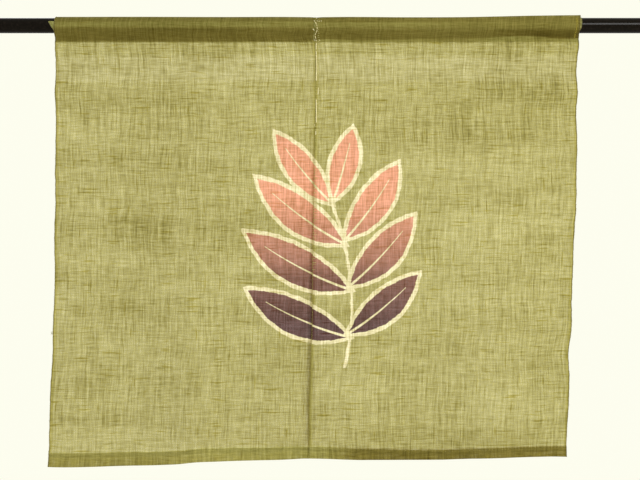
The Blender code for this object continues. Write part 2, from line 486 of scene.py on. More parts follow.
@dataclass
class ClothPanel:
    """One loom width, from the edge turned in behind the rod to the edge turned in at the foot.

    The sheet is a flat grid: its columns run with the warp, from the outer selvedge to the
    meeting line, and its rows with the weft.
    """

    side: Side
    sewing: tuple
    feet: tuple
    flare: float  # how far the back of the pocket pokes out past the outer edge
    turning: Turning
    flat_length: float
    columns: int = 170
    hem_tuck: float = 0.008  # raw edge turned in inside the hem
    drape_rows: int = 236
    lap_shade: float = 0.34  # wide soft shade that the right panel's edge throws on the left one
    lap_reach: float = 0.0085
    lap_core: float = 0.75  # narrow deep shade right at that edge
    lap_core_reach: float = 0.0018
    lap_from: tuple = (0.15, 0.24)  # depths between which both set in
    hem_light: float = -0.10  # painted light: the hem is painted lighter than its layers make it, most near the meeting
    hem_middle: float = -0.36
    hem_shade: float = 0.80  # and painted shade: darker towards the right
    hem_lighter: tuple = (-0.30, -0.12)  # places between which it turns lighter, and then darker
    hem_darker: tuple = (0.0, 0.09)
    hem_fall: float = 0.24  # more shade at its foot than at its top
    turning_light: float = -1.15  # painted light: the turned-in end is painted lighter than its place inside makes it
    loop_pitch: float = 0.0023  # from one turn of the weft at a selvedge to the next
    loop_points: int = 7
    loop_radius: float = 0.00028
    loop_inset: float = 0.0001
    yarn: float = 0.00038

    @property
    def name(self) -> str:
        """Name of the piece."""
        return f"cloth_{self.side.name.lower()}"

    @property
    def node(self) -> str:
        """Name of the solid that the sheet stands for."""
        return f"panel_{self.side.name.lower()}"

    def outer(self, depth: np.ndarray) -> np.ndarray:
        """Where the outer selvedge runs, with its small scallops, at a depth."""
        smooth = along(EDGES, self.side.name.lower(), depth)
        return self.side.value * (smooth + uneven(SCALLOPS, depth, 0.0, 3.0 * self.side.value))

    def inner(self, depth: np.ndarray) -> np.ndarray:
        """Where the selvedge at the meeting line runs, at a depth."""
        slit = along(GAPS, "x", depth) + self.side.value * along(GAPS, "width", depth) / 2
        lap = along(MEETINGS, "lap", depth) if self.side is Side.LEFT else 0.0
        return along(MEETINGS, "x", depth) + uneven(WANDER, depth, 0.0) + slit + lap

    def forward(self, x: np.ndarray, depth: np.ndarray) -> np.ndarray:
        """How far the folds, the parting and the small unevenness bring the cloth forward."""
        share = np.clip((depth - FLUTES_FROM) / (PANEL_DROP - FLUTES_FROM), 0.0, None)
        waves = sum(row.forward * np.exp(-(((x - row.x) / row.width) ** 2)) for row in FLUTES)
        away = np.clip(np.abs(x - along(MEETINGS, "x", depth)) / PARTING_WIDTH, 0.0, 1.0)
        part = PARTING_FORWARD if self.side is Side.RIGHT else PARTING_FORWARD - 1
        parting = part * along(MEETINGS, "parting", depth) * np.cos(away * math.pi / 2) ** 2
        return waves * share**FLUTE_GROWTH + parting + self.unevenness(x, depth)

    def unevenness(self, x: np.ndarray, depth: np.ndarray) -> np.ndarray:
        """Creases, slack and the puckers of the two seams, in metres forward."""
        slack = uneven(SLACK, x, depth * SLACK_DOWN) * swell(depth, *SLACK_DEPTHS)
        seam = along(self.sewing, "depth", x) + SEAM_PUCKERS_BELOW
        hem = along(self.feet, "depth", x) - along(self.feet, "hem", x)
        by_seam = np.exp(-np.abs(depth - seam) / SEAM_PUCKERS_FADE) * (depth > SEAM_PUCKERS_FROM)
        by_hem = np.exp(-np.abs(depth - hem) / HEM_PUCKERS_FADE)
        puckers = uneven(PUCKERS, x, depth * PUCKERS_DOWN) * (SEAM_PUCKERS * by_seam + HEM_PUCKERS * by_hem)
        pressed = np.zeros_like(x)
        for row in CREASES:
            share = np.clip((x - row.x) / (row.end_x - row.x), 0.0, 1.0)
            line = row.z + (row.end_z - row.z) * share
            starts = swell(x, row.x - CREASE_BEFORE, row.x + CREASE_PAST)
            stops = swell(x, row.end_x - CREASE_PAST, row.end_x + CREASE_BEFORE)
            ends = starts * (1 - stops)
            pressed = pressed + row.height * ends * np.exp(-(((-depth - line) / row.width) ** 2))
        return slack + puckers + pressed

    def pocket(self, x: np.ndarray) -> tuple[np.ndarray, np.ndarray, np.ndarray]:
        """The pocket at places along the rod.

        Args:
            x: Places along the rod.

        Returns:
            The depth of its seam, the height of the flat above it, and how far its top is raised.
        """
        seam, tail, rise = (along(self.sewing, key, x) for key in ("depth", "tail", "rise"))
        return seam, tail, rise - PINCH * np.exp(-(((x - PINCH_PLACE) / PINCH_WIDTH) ** 2))

    def path(self, x: np.ndarray) -> tuple[np.ndarray, dict[str, slice]]:
        """Middle of the cloth for each place along the rod.

        Args:
            x: Places along the rod, one for each column.

        Returns:
            The points (y, z) by row and column, and the rows of each named stretch.
        """
        seam, tail, rise = self.pocket(x)
        foot, hem = (along(self.feet, key, x) for key in ("depth", "hem"))
        closing, top, fold = seam - tail, foot - hem, HALF_GAP / 2
        radius, inside = ROD_RADIUS + ROD_TO_CLOTH, ROD_RADIUS + ROD_TO_CLOTH / 2
        leaves, leaves_inside = np.arccos(radius / closing), np.arccos(inside / closing)

        def spot(y: float | np.ndarray, z: np.ndarray) -> np.ndarray:
            """One place on every column's path."""
            return np.stack([np.broadcast_to(y, x.shape), z], axis=-1)

        def run(start: np.ndarray, end: np.ndarray, steps: int) -> np.ndarray:
            """Even steps from start up to just before end."""
            share = np.arange(steps)[:, None, None] / steps
            return start + (end - start) * share

        def turn(middle: np.ndarray, size: np.ndarray, begin: np.ndarray, end: np.ndarray, steps: int,
                 raised: np.ndarray | float = 0.0) -> np.ndarray:
            """Steps round an arc; angles start at straight down and grow towards the back."""
            angle = begin + (end - begin) * np.arange(steps)[:, None] / steps
            from_top = np.clip(np.abs(angle - math.pi) / POCKET_CREASE, 0.0, 1.0)
            reach = size + raised * np.cos(from_top * math.pi / 2) ** 2
            return middle + np.stack([reach * np.sin(angle), -reach * np.cos(angle)], axis=-1)

        quarter = math.pi / 2
        middle = spot(0.0, np.zeros_like(x))
        off_back = spot(radius * np.sin(leaves), -radius * np.cos(leaves))
        off_front = off_back * (-1, 1)
        off_inside = spot(-inside * np.sin(leaves_inside), -inside * np.cos(leaves_inside))
        turned_top = -math.acos(-self.turning.top / inside)
        stretches = {
            "turning": turn(middle, inside, np.full(x.shape, turned_top), -leaves_inside, 16),
            "turning fall": run(off_inside, spot(0.0, -closing), 6),
            "turning flat": run(spot(0.0, -closing), spot(0.0, -seam + fold), 3),
            "seam fold": turn(spot(fold, -seam + fold), fold, -quarter, quarter, 4),
            "back flat": run(spot(HALF_GAP, -seam + fold), spot(HALF_GAP, -closing), 4),
            "back rise": run(spot(HALF_GAP, -closing), off_back, 8),
            "over rod": turn(middle, radius, leaves, 2 * math.pi - leaves, 46, raised=rise),
            "front fall": run(off_front, spot(-HALF_GAP, -closing), 8),
            "front flat": run(spot(-HALF_GAP, -closing), spot(-HALF_GAP, -seam), 4),
            "drape": run(spot(-HALF_GAP, -seam), spot(-HALF_GAP, -top), self.drape_rows),
            "hem front": run(spot(-HALF_GAP, -top), spot(-HALF_GAP, HALF_GAP - foot), 9),
            "foot": turn(spot(0.0, HALF_GAP - foot), HALF_GAP, -quarter, quarter, 6),
            "hem back": run(spot(HALF_GAP, HALF_GAP - foot), spot(HALF_GAP, -top - fold), 9),
            "hem fold": turn(spot(fold, -top - fold), fold, quarter, 3 * quarter, 4),
            "hem tuck": run(spot(0.0, -top - fold), spot(0.0, -top - self.hem_tuck), 6),
        }
        rows, start = {}, 0
        for name, points in stretches.items():
            rows[name] = slice(start, start + len(points))
            start += len(points)
        last = spot(0.0, -top - self.hem_tuck)[None]
        return np.concatenate([*stretches.values(), last]), rows

    def places(self) -> tuple[np.ndarray, np.ndarray, dict[str, slice]]:
        """Where the sheet hangs.

        Returns:
            The world places by row and column, the cloth's own flat coordinates, and the rows of
            each named stretch.
        """
        column = np.linspace(0.0, 1.0, self.columns + 1)
        at_top = self.side.value * along(EDGES, self.side.name.lower(), np.zeros(1)) * (1 - column)
        path, rows = self.path(at_top)
        y, z = path[..., 0], path[..., 1]
        behind = swell(y, 0.2 * ROD_RADIUS, 0.8 * ROD_RADIUS)
        reach = np.where(z > FLARE_HEIGHT, FLARE_ABOVE, FLARE_BELOW)
        poke = 1 - np.clip(np.abs(z - FLARE_HEIGHT) / reach, 0.0, 1.0)
        outer = self.outer(-z) + self.side.value * self.flare * behind * poke
        turned = slice(rows["turning"].start, rows["turning fall"].stop)
        out = np.clip((z[turned] - TURNING_FOOT) / self.turning.slant, 0.0, 1.0)
        outer[turned] = self.outer(-z[turned]) + self.side.value * self.turning.reach * out
        inner = self.inner(-z)
        inner[turned] -= TURNING_PAST
        x = outer + (inner - outer) * column
        y = y - self.forward(x, -z)
        step = np.linalg.norm(np.diff(path, axis=0), axis=-1)
        length = np.concatenate([np.zeros((1, step.shape[1])), np.cumsum(step, axis=0)])
        seam = rows["drape"].start
        down = length - length[seam] + along(self.sewing, "depth", at_top)
        across = self.side.value * LOOM_WIDTH * (1 - column)
        flat = np.stack([np.broadcast_to(across, down.shape), -down], axis=-1)
        return np.stack([x, y, z], axis=-1), flat, rows

    def shade(self, places: np.ndarray, rows: dict[str, slice]) -> np.ndarray:
        """The painted shade: how much less light reaches each point than the open cloth.

        Args:
            places: World places by row and column.
            rows: The rows of each named stretch.

        Returns:
            The shade by row and column: 0 in the open, over 1 where it is deepest, and less than
            0 where the cloth is lighter.
        """
        x, y, z = (places[..., axis] for axis in range(3))
        dim = np.zeros(z.shape)
        shadow = {key: along(SHADOWS, key, x[rows["front flat"].start]) for key in Shadow._fields[1:]}
        under = swell(-z, -shadow["top"], shadow["softness"] - shadow["top"])
        pocket = shadow["above"] + (shadow["below"] - shadow["above"]) * under
        pocket = pocket + shadow["crown"] * swell(z, CROWN_FOOT, CROWN_TOP)
        pressed = swell(shadow["foot"] - z, -CREASE_SOFTNESS, CREASE_SOFTNESS)
        pocket = pocket + (shadow["under"] - pocket) * pressed
        for name in ("over rod", "front fall", "front flat"):
            dim[rows[name]] = np.where(y[rows[name]] < 0, pocket[rows[name]], 0.0)
        # painted light and painted shade on the hem
        hem = self.hem_light + (self.hem_middle - self.hem_light) * swell(x, *self.hem_lighter)
        hem = hem + (self.hem_shade - self.hem_middle) * swell(x, *self.hem_darker)
        for name in ("hem front", "foot"):
            share = np.linspace(-0.5, 0.5, hem[rows[name]].shape[0])[:, None]
            dim[rows[name]] = hem[rows[name]] + self.hem_fall * (share if name == "hem front" else 0.5)
        # painted light on the turned-in end
        dim[rows["turning"]] = self.turning_light
        if self.side is Side.LEFT:
            away = np.clip(along(MEETINGS, "x", -z) - x, 0.0, None)
            wide = self.lap_shade * np.exp(-away / self.lap_reach)
            core = self.lap_core * np.exp(-away / self.lap_core_reach)
            lapped = swell(-z, *self.lap_from) * (wide + core)
            dim[rows["drape"]] = lapped[rows["drape"]]
        return dim

    def build(self, finish: bpy.types.Material) -> bpy.types.Object:
        """Makes the sheet and hangs it.

        Args:
            finish: The dyed cloth.

        Returns:
            The finished piece.
        """
        places, flat, rows = self.places()
        count = len(places) - 1
        bm = bmesh.new()
        bmesh.ops.create_grid(bm, x_segments=self.columns, y_segments=count, size=0.5)
        order = np.empty((len(bm.verts), 2), int)
        for vertex in bm.verts:
            across, down = vertex.co.x + 0.5, vertex.co.y + 0.5
            column = across if self.side is Side.LEFT else 1 - across
            order[vertex.index] = round(down * count), round(column * self.columns)
            vertex.co = places[tuple(order[vertex.index])]
        bmesh.ops.reverse_faces(bm, faces=bm.faces)
        piece = add_piece(self.name, bm, finish)
        chosen = order[:, 0], order[:, 1]
        lay_flat(piece.data, flat[chosen])
        keep_values(piece.data, "dim", self.shade(places, rows)[chosen])
        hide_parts(self.node)
        return piece

    def front(self, x: np.ndarray, z: np.ndarray) -> np.ndarray:
        """Where the cloth on the front of the panel stands.

        Args:
            x: Places along the rod.
            z: Their heights, between the pocket's top and the hem.

        Returns:
            The Y coordinate of the middle of the cloth at each place.
        """
        seam, tail, rise = self.pocket(x)
        closing, radius = seam - tail, ROD_RADIUS + ROD_TO_CLOTH
        leaves = np.arccos(radius / closing)
        low = -radius * np.cos(leaves)
        angle = np.full(z.shape, math.pi / 2)
        for _ in range(6):
            from_top = np.clip(angle / POCKET_CREASE, 0.0, 1.0)
            reach = radius + rise * np.cos(from_top * math.pi / 2) ** 2
            angle = np.arccos(np.clip(z / reach, -1.0, 1.0))
        straight = np.clip((z + closing) / (low + closing), 0.0, 1.0)
        fall = HALF_GAP + (radius * np.sin(leaves) - HALF_GAP) * straight
        return -np.where(z > low, reach * np.sin(angle), fall) - self.forward(x, -z)

    def bind_edge(self, edge: str, finish: bpy.types.Material) -> bpy.types.Object:
        """Adds the small loops in which the weft turns back at one selvedge.

        Args:
            edge: Which one: outer or inner.
            finish: The yarn.

        Returns:
            The finished piece.
        """
        places, _, rows = self.places()
        column, outwards = (0, self.side.value) if edge == "outer" else (-1, -self.side.value)
        line = places[rows["seam fold"].start : rows["hem fold"].stop, column]
        length = np.concatenate([[0.0], np.cumsum(np.linalg.norm(np.diff(line, axis=0), axis=1))])
        at = np.arange(0.0, length[-1], self.loop_pitch / self.loop_points)
        middle = np.column_stack([np.interp(at, length, line[:, axis]) for axis in range(3)])
        middle[:, 0] -= outwards * self.loop_inset
        route = wind(middle, (1.0, 0.0, 0.0), self.loop_radius, self.loop_pitch)
        return add_thread(f"selvedge_{self.side.name.lower()}_{edge}", [route], self.yarn, finish, sides=4)


def add_piece(name: str, bm: bmesh.types.BMesh, finish: bpy.types.Material) -> bpy.types.Object:
    """Turns a bmesh into a smooth piece that rides on the part.

    Args:
        name: The piece's name.
        bm: Its shape, which is used up.
        finish: Its material.

    Returns:
        The new piece.
    """
    mesh = bpy.data.meshes.new(name)
    bm.to_mesh(mesh)
    bm.free()
    mesh.materials.append(finish)
    mesh.shade_smooth()
    piece = bpy.data.objects.new(name, mesh)
    bpy.context.scene.collection.objects.link(piece)
    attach(piece, "root")
    return piece


def add_thread(name: str, routes: Sequence[np.ndarray], width: float, finish: bpy.types.Material,
               sides: int = 6) -> bpy.types.Object:
    """Lays round thread along routes, as one piece that rides on the part.

    Args:
        name: The piece's name.
        routes: The points of each stretch of thread.
        width: How thick the thread is.
        finish: Its material.
        sides: How many sides it has: 4, 6 or 8.

    Returns:
        The new piece.
    """
    curve = bpy.data.curves.new(name, "CURVE")
    curve.dimensions = "3D"
    curve.bevel_depth = width / 2
    curve.bevel_resolution = (sides - 4) // 2
    curve.use_fill_caps = True
    for route in routes:
        spline = curve.splines.new("POLY")
        spline.points.add(len(route) - 1)
        spline.points.foreach_set("co", np.column_stack([route, np.ones(len(route))]).ravel())
    curve.materials.append(finish)
    piece = bpy.data.objects.new(name, curve)
    bpy.context.scene.collection.objects.link(piece)
    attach(piece, "root")
    return piece


def wind(middle: np.ndarray, across: Sequence[float], radius: float, pitch: float,
         start: float = 0.0) -> np.ndarray:
    """Winds a helix round a route.

    Args:
        middle: Points of the route, close together.
        across: A direction square to the route, one for all its points.
        radius: The helix's radius.
        pitch: Length of one turn.
        start: Angle of its first point in radians.

    Returns:
        The helix's points, one for each point of the route.
    """
    tangent = np.gradient(middle, axis=0)
    tangent /= np.linalg.norm(tangent, axis=1)[:, None]
    normal = np.cross(tangent, across)
    normal /= np.linalg.norm(normal, axis=1)[:, None]
    side = np.cross(normal, tangent)
    length = np.concatenate([[0.0], np.cumsum(np.linalg.norm(np.diff(middle, axis=0), axis=1))])
    angle = (start + math.tau * length / pitch)[:, None]
    return middle + radius * (np.cos(angle) * side + np.sin(angle) * normal)


def lay_flat(mesh: bpy.types.Mesh, flat: np.ndarray) -> None:
    """Gives a mesh a UV map of its cloth's flat coordinates in metres, one row for each vertex."""
    layer = mesh.uv_layers.new(name="cloth")
    corner = np.empty(len(mesh.loops), np.int32)
    mesh.loops.foreach_get("vertex_index", corner)
    layer.data.foreach_set("uv", flat[corner].astype(np.float32).ravel())


def keep_values(mesh: bpy.types.Mesh, name: str, values: np.ndarray) -> None:
    """Stores one number for each vertex under a name that the materials read."""
    layer = mesh.attributes.new(name, "FLOAT", "POINT")
    layer.data.foreach_set("value", values.astype(np.float32))


class Graph:
    """Adds nodes to one node tree. An input is given as a socket or as a plain value."""

    def __init__(self, tree: bpy.types.NodeTree) -> None:
        """Keeps the tree that gets the nodes."""
        self.tree = tree

    def node(self, kind: str, inputs: dict | None = None, **settings) -> bpy.types.Node:
        """Adds one node.

        Args:
            kind: The node's type.
            inputs: Sockets or values by the input's name or number.
            **settings: Properties of the node.

        Returns:
            The node.
        """
        made = self.tree.nodes.new(kind)
        for name, value in settings.items():
            setattr(made, name, value)
        for name, value in (inputs or {}).items():
            if isinstance(value, bpy.types.NodeSocket):
                self.tree.links.new(value, made.inputs[name])
            else:
                made.inputs[name].default_value = value
        return made

    def math(self, operation: str, *values, clamp: bool = False) -> bpy.types.NodeSocket:
        """Number worked out from other numbers."""
        inputs = dict(enumerate(values))
        return self.node("ShaderNodeMath", inputs, operation=operation, use_clamp=clamp).outputs[0]

    def vector(self, operation: str, *values) -> bpy.types.NodeSocket:
        """Vector worked out from other vectors."""
        inputs = dict(enumerate(values))
        return self.node("ShaderNodeVectorMath", inputs, operation=operation).outputs[0]

    def combine(self, x, y, z=0.0) -> bpy.types.NodeSocket:
        """Vector put together from three numbers."""
        return self.node("ShaderNodeCombineXYZ", {"X": x, "Y": y, "Z": z}).outputs[0]

    def add(self, first, *values) -> bpy.types.NodeSocket:
        """Sum of two or more numbers."""
        for value in values:
            first = self.math("ADD", first, value)
        return first

    def times(self, first, *values) -> bpy.types.NodeSocket:
        """Product of two or more numbers."""
        for value in values:
            first = self.math("MULTIPLY", first, value)
        return first

    def off_middle(self, value, strength: float) -> bpy.types.NodeSocket:
        """How far a number from 0 to 1 is past a half, times a strength."""
        return self.times(self.math("SUBTRACT", value, 0.5), strength)

    def hypotenuse(self, a, b) -> bpy.types.NodeSocket:
        """Length of a step with two given sides."""
        return self.math("SQRT", self.add(self.times(a, a), self.times(b, b)))

    def give(self, target: bpy.types.Node, **values) -> None:
        """Links sockets to the inputs of a node that have these names."""
        for name, value in values.items():
            self.tree.links.new(value, target.inputs[name])

    def texture(self, vector, scale: float, detail: float) -> bpy.types.NodeSocket:
        """Smooth noise from 0 to 1 in space."""
        inputs = {"Vector": vector, "Scale": scale, "Detail": detail}
        return self.node("ShaderNodeTexNoise", inputs).outputs["Fac"]

    def bump(self, height, strength: float, distance: float) -> bpy.types.NodeSocket:
        """Normal of a surface with this relief."""
        inputs = {"Height": height, "Strength": strength, "Distance": distance}
        return self.node("ShaderNodeBump", inputs).outputs["Normal"]

    def split(self, vector) -> tuple:
        """The X and Y numbers of a vector."""
        parts = self.node("ShaderNodeSeparateXYZ", {"Vector": vector})
        return parts.outputs["X"], parts.outputs["Y"]

    def noise(self, vector, across: float, down: float, detail: float = 0.0, seed: float = 0.0):
        """Smooth noise from 0 to 1, with so many swells a metre across and down the cloth."""
        scaled = self.vector("MULTIPLY_ADD", vector, (across, down, 1.0), (seed, seed * 1.7, 0.0))
        inputs = {"Vector": scaled, "Scale": 1.0, "Detail": detail, "Roughness": 0.5}
        return self.node("ShaderNodeTexNoise", inputs, noise_dimensions="2D").outputs["Fac"]

    def span(self, value, low: float, high: float, to_low=0.0, to_high=1.0, smooth: bool = False):
        """Maps a stretch of values to another stretch, held level past its ends."""
        inputs = {"Value": value, "From Min": low, "From Max": high, "To Min": to_low, "To Max": to_high}
        kind = "SMOOTHSTEP" if smooth else "LINEAR"
        return self.node("ShaderNodeMapRange", inputs, interpolation_type=kind).outputs["Result"]

    def mix(self, share, a, b, blend: str = "MIX") -> bpy.types.NodeSocket:
        """Mixes two colours."""
        made = self.node("ShaderNodeMix", {0: share, 6: a, 7: b}, data_type="RGBA", blend_type=blend)
        return made.outputs[2]

    def tint(self, colour, strength) -> bpy.types.NodeSocket:
        """A colour made lighter or darker by a number."""
        return self.vector("MULTIPLY", colour, self.combine(strength, strength, strength))


def make_group(name: str, takes: dict[str, str], gives: Sequence[str]) -> tuple:
    """Starts a node group.

    Args:
        name: The group's name.
        takes: Its inputs, each with its kind: Float or Vector.
        gives: Its outputs, all numbers.

    Returns:
        The tree, a Graph for it, its input sockets by name, and its output node.
    """
    tree = bpy.data.node_groups.new(name, "ShaderNodeTree")
    for socket, kind in takes.items():
        tree.interface.new_socket(socket, in_out="INPUT", socket_type=f"NodeSocket{kind}")
    for socket in gives:
        tree.interface.new_socket(socket, in_out="OUTPUT", socket_type="NodeSocketFloat")
    given, asked = tree.nodes.new("NodeGroupInput"), tree.nodes.new("NodeGroupOutput")
    return tree, Graph(tree), given.outputs, asked


class Leaf(NamedTuple):
    """One leaf of the dyed sprig: the foot of its stalk, where it points, its size and its bend."""

    x: float
    z: float
    lean: float  # degrees from straight up, to the right
    length: float
    width: float
    bend: float


@dataclass(frozen=True)
class LeafSprig:
    """The dyed pattern: a sprig of plain leaves kept apart by lines of undyed cloth."""

    leaves: tuple = (
        Leaf(0.058, -0.530, -66, 0.190, 0.056, 0.9),
        Leaf(0.066, -0.520, 50, 0.150, 0.050, -0.9),
        Leaf(0.058, -0.450, -62, 0.200, 0.060, 0.8),
        Leaf(0.068, -0.440, 42, 0.155, 0.054, -0.9),
        Leaf(0.048, -0.372, -54, 0.185, 0.056, 0.8),
        Leaf(0.060, -0.360, 34, 0.150, 0.052, -0.8),
        Leaf(0.026, -0.300, -40, 0.150, 0.046, 0.7),
        Leaf(0.036, -0.292, 14, 0.120, 0.044, -0.6),
    )
    stem_middle: tuple = (-0.395, -0.480)  # centre of the arc that the stem follows
    stem_radius: float = 0.462
    stem_foot: float = -0.575
    stem_head: float = -0.285
    stem_width: float = 0.0052
    line: float = 0.0066  # width of the undyed line round a leaf
    rib_taper: tuple = (0.0021, 0.0004)  # half width of a midrib at its foot and near its end
    rib_end: float = 0.62  # share of the half leaf that it runs up to
    waver: float = 0.0024  # how far the dye strays from a drawn edge, in swells and finely
    fine_waver: float = 0.0014
    soft_line: float = 0.0006  # half the width over which an edge fades
    soft_dye: float = 0.0005
    fall_from: float = -0.200  # heights between which the dye turns from light to dark
    fall_to: float = -0.560

    def leaf_group(self) -> bpy.types.NodeTree:
        """Group that gives the distance to a leaf's outline and to its midrib, less inside."""
        takes = {"Coordinates": "Vector", "Middle": "Vector", "Turn": "Float", "Reach": "Float",
                 "Half width": "Float", "Bend": "Float"}
        tree, graph, given, asked = make_group("leaf", takes, ("Outline", "Rib"))
        away = graph.vector("SUBTRACT", given["Coordinates"], given["Middle"])
        turned = graph.node(
            "ShaderNodeVectorRotate", {"Vector": away, "Angle": given["Turn"]}, rotation_type="Z_AXIS"
        )
        x, y = graph.split(turned.outputs[0])
        reach, half = given["Reach"], given["Half width"]
        bow = graph.times(given["Bend"], graph.times(y, y))  # the leaf's curve
        x = graph.math("ABSOLUTE", graph.math("SUBTRACT", x, bow))
        squares = graph.add(graph.times(reach, reach), graph.times(half, half))
        radius = graph.math("DIVIDE", squares, graph.times(half, 2.0))
        length = graph.hypotenuse(graph.add(x, graph.math("SUBTRACT", radius, half)), y)
        taper = graph.span(graph.math("DIVIDE", y, reach), -1.0, 0.7, *self.rib_taper)
        past = graph.math("SUBTRACT", y, graph.times(reach, self.rib_end))
        rib = graph.math("MAXIMUM", graph.math("SUBTRACT", x, taper), past)
        graph.give(asked, Outline=graph.math("SUBTRACT", length, radius), Rib=rib)
        return tree

    def group(self) -> bpy.types.NodeTree:
        """Group that gives the masks of the undyed lines and of the dyed leaves, and the height."""
        tree, graph, given, asked = make_group(
            "leaf sprig", {"Coordinates": "Vector"}, ("Lines", "Leaves", "Fall")
        )
        place = given["Coordinates"]
        stray = graph.add(graph.off_middle(graph.noise(place, 70, 70, seed=4.0), self.waver),
                          graph.off_middle(graph.noise(place, 260, 260, seed=8.0), self.fine_waver))
        _, z = graph.split(place)
        from_arc = graph.vector("SUBTRACT", place, (*self.stem_middle, 0.0))
        arc = graph.node("ShaderNodeVectorMath", {0: from_arc}, operation="LENGTH").outputs["Value"]
        off_arc = graph.math("ABSOLUTE", graph.math("SUBTRACT", arc, self.stem_radius))
        stem = graph.math("SUBTRACT", off_arc, self.stem_width / 2)
        over = graph.math("SUBTRACT", z, self.stem_head)
        under = graph.math("SUBTRACT", self.stem_foot, z)
        stem = graph.math("MAXIMUM", graph.math("MAXIMUM", stem, over), under)
        lines = graph.span(graph.add(stem, stray), self.soft_line, -self.soft_line)
        leaves, leaf = 0.0, self.leaf_group()
        for row in self.leaves:
            lean = math.radians(row.lean)
            middle = (row.x + math.sin(lean) * row.length / 2, row.z + math.cos(lean) * row.length / 2, 0)
            made = graph.node("ShaderNodeGroup", {
                "Coordinates": place, "Middle": middle, "Turn": lean, "Reach": row.length / 2,
                "Half width": row.width / 2, "Bend": row.bend,
            }, node_tree=leaf)
            outline = graph.add(made.outputs["Outline"], stray)
            ring = graph.span(graph.math("SUBTRACT", outline, self.line), self.soft_line, -self.soft_line)
            off_rib = graph.times(made.outputs["Rib"], -1.0)
            dyed = graph.span(graph.math("MAXIMUM", outline, off_rib), self.soft_dye, -self.soft_dye)
            behind = graph.times(leaves, graph.math("SUBTRACT", 1.0, ring))
            leaves = graph.math("MAXIMUM", behind, dyed)
            lines = graph.math("MAXIMUM", lines, ring)
        graph.give(asked, Lines=lines, Leaves=leaves, Fall=graph.span(z, self.fall_from, self.fall_to))
        return tree


@dataclass(frozen=True)
class Weave:
    """Plain weave of slubby hand-joined yarn, open enough to see light through."""

    pitch: float = 0.00115
    open_share: float = 0.132  # mean of the holes' pattern, which the share of holes is divided by
    drift: float = 0.006  # how far the yarns stray from straight, in long swells and in short ones
    waver: float = 0.0012
    crossing_height: float = 0.5  # relief where yarns cross, and of a slub, against the tone's
    slub_height: float = 1.5

    def group(self) -> bpy.types.NodeTree:
        """Group that gives the yarn's tone, the holes' pattern, the slubs and the relief."""
        tree, graph, given, asked = make_group(
            "slubby weave", {"Coordinates": "Vector"}, ("Tone", "Holes", "Slubs", "Relief")
        )
        place = given["Coordinates"]
        sway = graph.add(
            graph.off_middle(graph.noise(place, 11, 11, detail=1.0, seed=2.0), self.drift),
            graph.off_middle(graph.noise(place, 60, 60, seed=6.0), self.waver),
        )
        place = graph.vector("ADD", place, graph.combine(sway, graph.times(sway, -0.8)))
        streaks = (  # each with its strength in the tone: warp, warp, warp, weft, weft, both
            (graph.noise(place, 680, 44, seed=1.0), 0.40),
            (graph.noise(place, 300, 16, seed=3.0), 0.35),
            (graph.noise(place, 420, 7, seed=4.0), 0.25),
            (graph.noise(place, 14, 310, seed=5.0), 0.27),
            (graph.noise(place, 60, 640, seed=7.0), 0.35),
            (graph.noise(place, 300, 300, detail=1.0, seed=9.0), 0.10),
        )
        tone = graph.add(1.0, *(graph.off_middle(value, strength) for value, strength in streaks))
        weft_slub = graph.span(graph.noise(place, 22, 330, seed=13.0), 0.74, 0.86, smooth=True)
        warp_slub = graph.span(graph.noise(place, 360, 24, seed=17.0), 0.78, 0.90, smooth=True)
        slubs = graph.math("MAXIMUM", weft_slub, warp_slub)
        x, z = graph.split(place)
        turns = math.pi / self.pitch
        across, down = (graph.math("SINE", graph.times(value, turns)) for value in (x, z))
        gaps = (graph.math("SUBTRACT", 1.0, graph.math("ABSOLUTE", value)) for value in (across, down))
        holes = graph.math("DIVIDE", graph.times(*gaps), self.open_share)
        relief = graph.add(graph.times(across, down, self.crossing_height),
                           graph.times(slubs, self.slub_height), tone)
        graph.give(asked, Tone=tone, Holes=holes, Slubs=slubs, Relief=relief)
        return tree


def new_material(name: str) -> tuple[bpy.types.Material, Graph, bpy.types.Node]:
    """Starts a material.

    Args:
        name: The material's name.

    Returns:
        The material, a Graph for its nodes, and its output node.
    """
    material = bpy.data.materials.new(name)
    material.use_nodes = True
    material.node_tree.nodes.clear()
    graph = Graph(material.node_tree)
    return material, graph, graph.node("ShaderNodeOutputMaterial")


